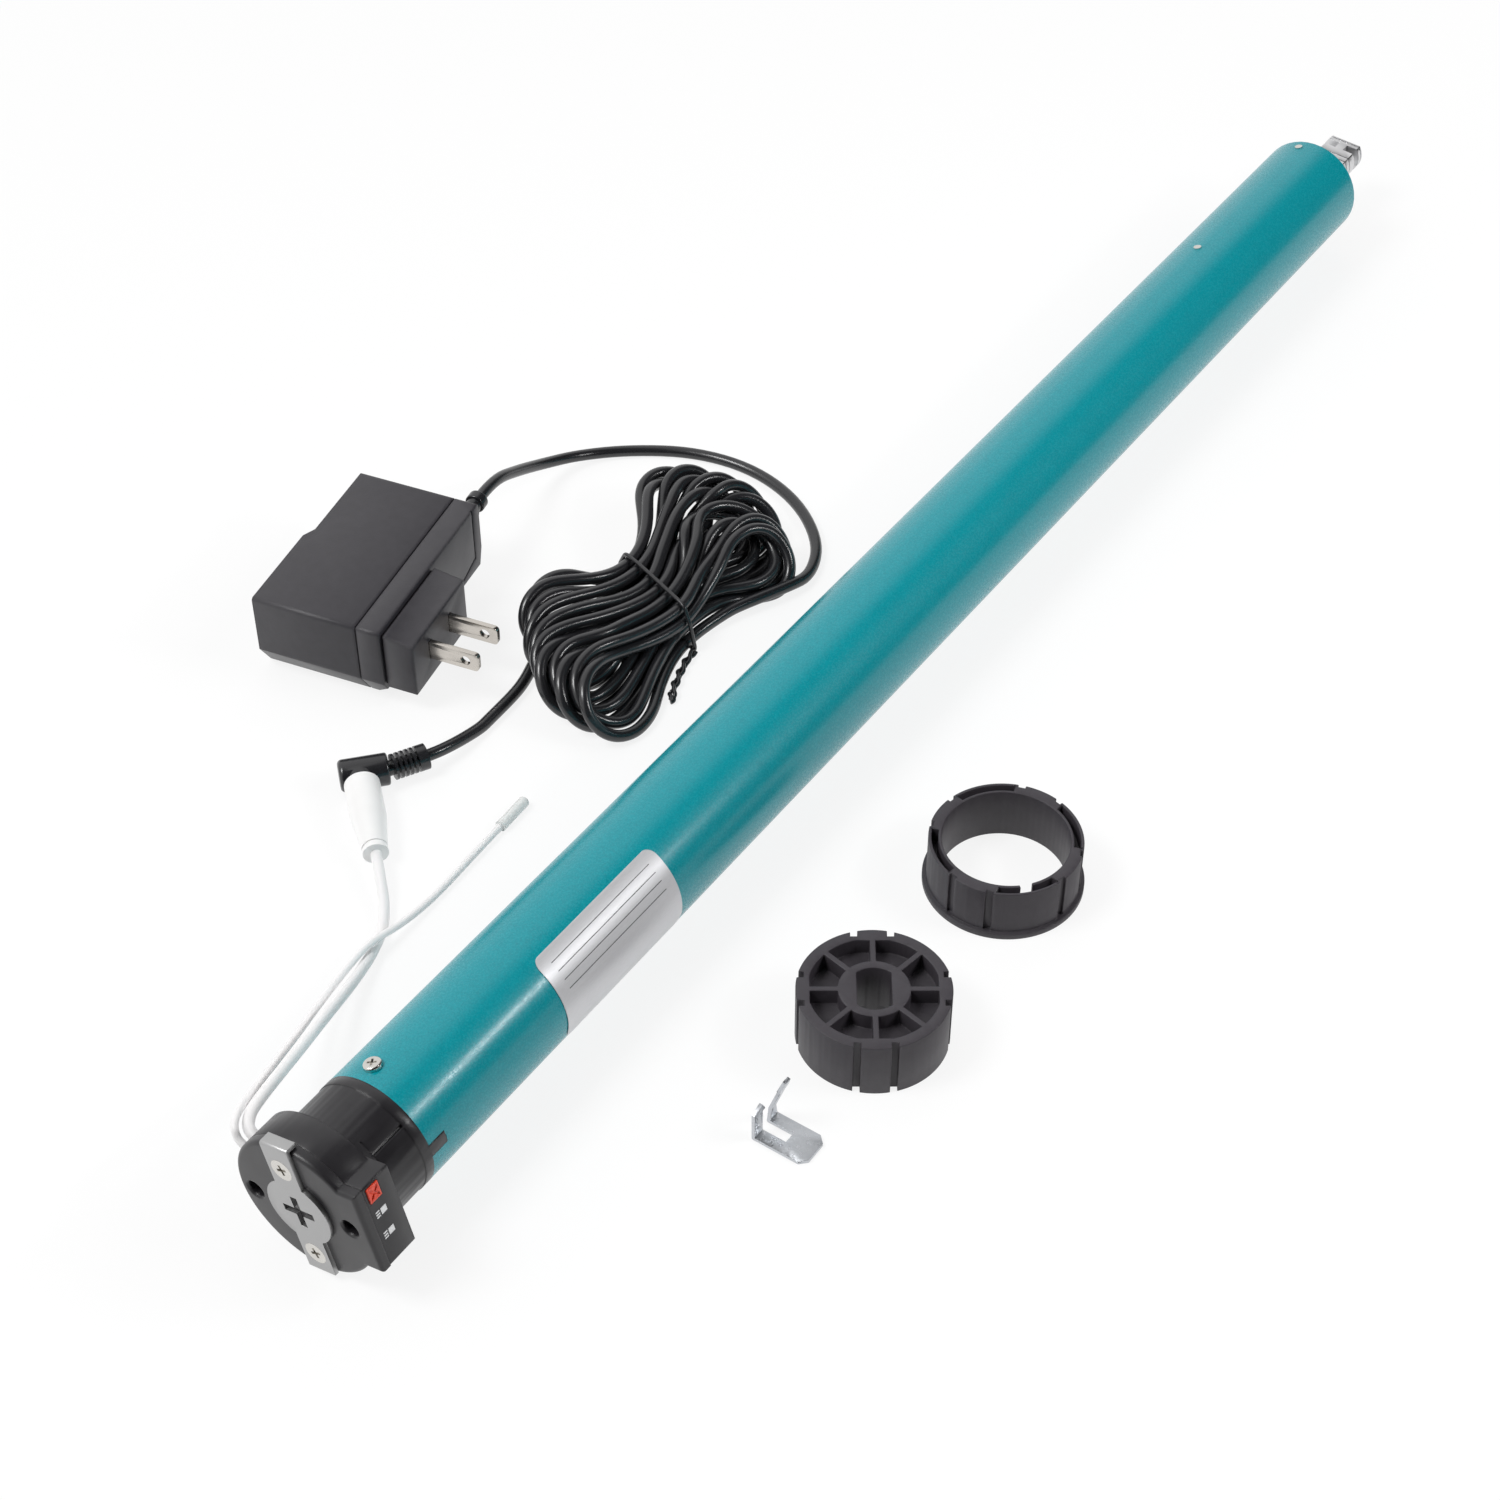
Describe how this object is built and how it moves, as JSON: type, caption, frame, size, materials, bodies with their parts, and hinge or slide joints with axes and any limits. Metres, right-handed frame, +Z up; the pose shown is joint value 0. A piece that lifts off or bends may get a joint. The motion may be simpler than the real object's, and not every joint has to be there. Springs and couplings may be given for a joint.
{
  "type": "tubular roller blind motor",
  "caption": "Tubular motor that turns a roller blind's tube, with planetary gearbox, loose drive wheel, crown ring, retaining clip and corded mains adapter.",
  "frame": {"origin": "centre of the bracket plate's outer face, on the motor's axis", "axes": "+X along the motor to its output shaft, +Z up, +Y to the side where the leads and the adapter lie; the head is rolled 14 degrees about X"},
  "size_m": [0.5692, 0.2625, 0.0436],
  "materials": {
    "bracket_steel": "satin pressed steel",
    "head_plastic": "satin black moulding",
    "button_red": "red-orange moulding",
    "teal_paint": "teal metallic paint on steel",
    "label_silver": "matt silver foil",
    "screw_steel": "zinc-plated steel",
    "machined_steel": "machined steel",
    "clip_zinc": "bluish zinc-plated sheet",
    "dark_nylon": "dark grey glass-filled nylon",
    "adapter_plastic": "fine-textured black moulding",
    "blade_nickel": "nickel-plated brass",
    "cord_black": "soft black PVC",
    "lead_white": "white silicone",
    "socket_white": "white moulding",
    "cap_clear": "clear heat-shrink",
    "board_green": "glass-epoxy board",
    "board_dark": "dark component cases",
    "tray_grey": "grey moulding",
    "damper_rubber": "soft rubber",
    "magnet_dark": "dark ferrite",
    "copper": "enamelled copper",
    "bearing_bronze": "sintered bronze",
    "bush_nylon": "black bearing nylon"
  },
  "bodies": {
    "base": {"adapter_back_shell": "adapter_plastic", "adapter_board": "board_green", "adapter_front_shell": "adapter_plastic", "adapter_lead": "cord_black", "adapter_strain_relief": "cord_black", "adapter_transformer": "board_dark", "antenna_cap": "cap_clear", "antenna_wire": "lead_white", "bearings": "bearing_bronze", "board_parts": "board_dark", "board_tray": "tray_grey", "bracket_plate": "bracket_steel", "circuit_boards": "board_green", "dc_plug": "cord_black", "dc_socket": "socket_white", "end_bush": "bush_nylon", "gear_flange": "machined_steel", "gear_housing": "machined_steel", "hank_tie": "cord_black", "head_body": "head_plastic", "head_cable": "cord_black", "head_cover": "head_plastic", "lead_grommets": "lead_white", "lead_hank": "cord_black", "lead_tail": "cord_black", "motor_brushes": "board_dark", "motor_can": "machined_steel", "motor_damper": "damper_rubber", "motor_end_cap": "tray_grey", "motor_lead": "lead_white", "motor_magnets": "magnet_dark", "motor_tube": "teal_paint", "plug_blades": "blade_nickel", "plug_block": "adapter_plastic", "plug_contacts": "blade_nickel", "rating_label": "label_silver", "screws": "screw_steel", "tube_rivets": "screw_steel"},
    "rotor": {"rotor_shaft": "machined_steel", "encoder_magnet": "magnet_dark", "armature_core": "machined_steel", "armature_winding": "copper", "commutator": "copper"},
    "carrier_1": {"carrier_1": "machined_steel"},
    "carrier_2": {"carrier_2": "machined_steel"},
    "output": {"output_shaft": "machined_steel"},
    "button": {"set_button": "button_red"},
    "wheel": {"drive_wheel": "dark_nylon"},
    "crown": {"crown_ring": "dark_nylon"},
    "clip": {"retaining_clip": "clip_zinc"},
    "planet_1_1": {"planet_1_1": "machined_steel"},
    "planet_1_2": {"planet_1_2": "machined_steel"},
    "planet_1_3": {"planet_1_3": "machined_steel"},
    "planet_2_1": {"planet_2_1": "machined_steel"},
    "planet_2_2": {"planet_2_2": "machined_steel"},
    "planet_2_3": {"planet_2_3": "machined_steel"},
    "planet_3_1": {"planet_3_1": "machined_steel"},
    "planet_3_2": {"planet_3_2": "machined_steel"},
    "planet_3_3": {"planet_3_3": "machined_steel"}
  },
  "joints": [
    {"name": "rotor_spin", "type": "hinge", "parent": "base", "child": "rotor", "pos_m": [0.4, 0, 0], "axis": [1, 0, 0], "continuous": true},
    {"name": "carrier_1_spin", "type": "hinge", "parent": "base", "child": "carrier_1", "pos_m": [0.467, 0, 0], "axis": [1, 0, 0], "continuous": true},
    {"name": "carrier_2_spin", "type": "hinge", "parent": "base", "child": "carrier_2", "pos_m": [0.484, 0, 0], "axis": [1, 0, 0], "continuous": true},
    {"name": "output_spin", "type": "hinge", "parent": "base", "child": "output", "pos_m": [0.54, 0, 0], "axis": [1, 0, 0], "continuous": true},
    {"name": "planet_1_1_spin", "type": "hinge", "parent": "carrier_1", "child": "planet_1_1", "pos_m": [0.4614, 0.00873, -0.00218], "axis": [1, 0, 0], "continuous": true},
    {"name": "planet_1_2_spin", "type": "hinge", "parent": "carrier_1", "child": "planet_1_2", "pos_m": [0.4614, -0.00248, 0.00865], "axis": [1, 0, 0], "continuous": true},
    {"name": "planet_1_3_spin", "type": "hinge", "parent": "carrier_1", "child": "planet_1_3", "pos_m": [0.4614, -0.00625, -0.00647], "axis": [1, 0, 0], "continuous": true},
    {"name": "planet_2_1_spin", "type": "hinge", "parent": "carrier_2", "child": "planet_2_1", "pos_m": [0.4757, 0.00873, -0.00218], "axis": [1, 0, 0], "continuous": true},
    {"name": "planet_2_2_spin", "type": "hinge", "parent": "carrier_2", "child": "planet_2_2", "pos_m": [0.4757, -0.00248, 0.00865], "axis": [1, 0, 0], "continuous": true},
    {"name": "planet_2_3_spin", "type": "hinge", "parent": "carrier_2", "child": "planet_2_3", "pos_m": [0.4757, -0.00625, -0.00647], "axis": [1, 0, 0], "continuous": true},
    {"name": "planet_3_1_spin", "type": "hinge", "parent": "output", "child": "planet_3_1", "pos_m": [0.4955, 0.00873, -0.00218], "axis": [1, 0, 0], "continuous": true},
    {"name": "planet_3_2_spin", "type": "hinge", "parent": "output", "child": "planet_3_2", "pos_m": [0.4955, -0.00248, 0.00865], "axis": [1, 0, 0], "continuous": true},
    {"name": "planet_3_3_spin", "type": "hinge", "parent": "output", "child": "planet_3_3", "pos_m": [0.4955, -0.00625, -0.00647], "axis": [1, 0, 0], "continuous": true},
    {"name": "button_press", "type": "slide", "parent": "base", "child": "button", "axis": [0, 0.9703, -0.2419], "range_m": [0, 0.0006], "stiffness_N_per_m": 600, "springref_m": -0.0006},
    {"name": "wheel_lift", "type": "slide", "parent": "base", "child": "wheel", "axis": [0, 0, 1], "range_m": [0, 0.05]},
    {"name": "crown_lift", "type": "slide", "parent": "base", "child": "crown", "axis": [0, 0, 1], "range_m": [0, 0.05]},
    {"name": "clip_lift", "type": "slide", "parent": "base", "child": "clip", "axis": [0, 0, 1], "range_m": [0, 0.05]}
  ],
  "couplings": [
    {"joint": "carrier_1_spin", "follows": "rotor_spin", "ratio": 0.2},
    {"joint": "carrier_2_spin", "follows": "rotor_spin", "ratio": 0.04},
    {"joint": "output_spin", "follows": "rotor_spin", "ratio": 0.008},
    {"joint": "planet_1_1_spin", "follows": "rotor_spin", "ratio": -0.53333},
    {"joint": "planet_1_2_spin", "follows": "rotor_spin", "ratio": -0.53333},
    {"joint": "planet_1_3_spin", "follows": "rotor_spin", "ratio": -0.53333},
    {"joint": "planet_2_1_spin", "follows": "rotor_spin", "ratio": -0.10667},
    {"joint": "planet_2_2_spin", "follows": "rotor_spin", "ratio": -0.10667},
    {"joint": "planet_2_3_spin", "follows": "rotor_spin", "ratio": -0.10667},
    {"joint": "planet_3_1_spin", "follows": "rotor_spin", "ratio": -0.021333},
    {"joint": "planet_3_2_spin", "follows": "rotor_spin", "ratio": -0.021333},
    {"joint": "planet_3_3_spin", "follows": "rotor_spin", "ratio": -0.021333}
  ]
}
